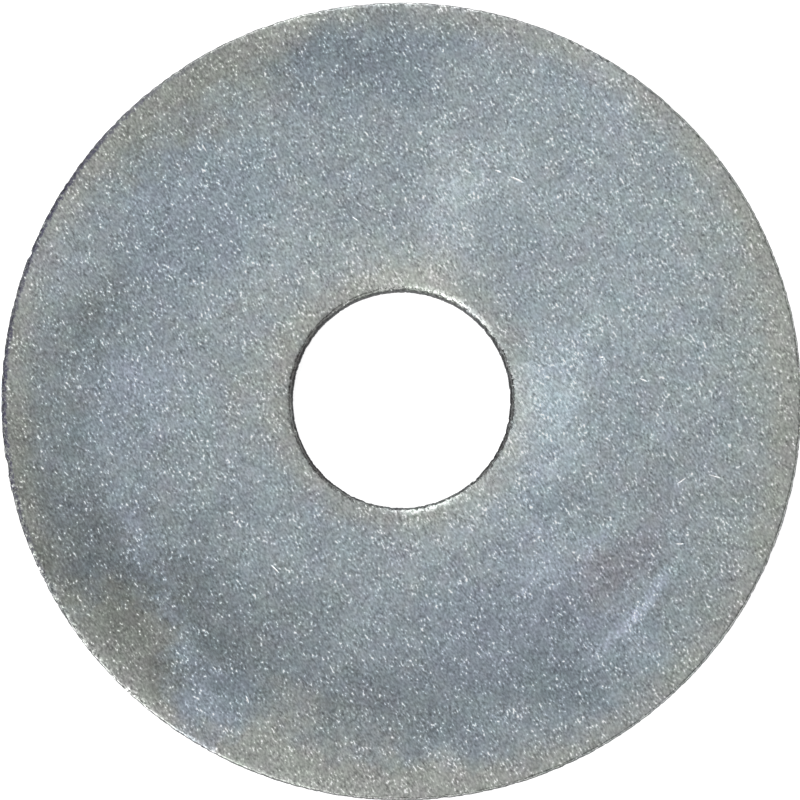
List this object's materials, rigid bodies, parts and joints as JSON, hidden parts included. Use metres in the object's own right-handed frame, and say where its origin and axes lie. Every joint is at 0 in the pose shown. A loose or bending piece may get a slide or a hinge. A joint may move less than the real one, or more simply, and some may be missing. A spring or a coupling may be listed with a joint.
{
  "type": "flat washer",
  "caption": "Wide flat round steel washer with a plain centre hole; spreads the load of a bolt head or nut over a thin or soft surface.",
  "frame": {"origin": "centre of the bottom face's plane, on the axis of the hole", "axes": "+Z along the hole's axis, from the face with the torn edges to the face with the rounded edges; X and Y are any two directions across the disc"},
  "size_m": [0.0381, 0.038, 0.0016],
  "materials": {
    "zinc_plated_steel": "satin zinc plating, bright blue-grey, fine mottled grain"
  },
  "bodies": {
    "root": {"washer": "zinc_plated_steel"}
  },
  "joints": []
}
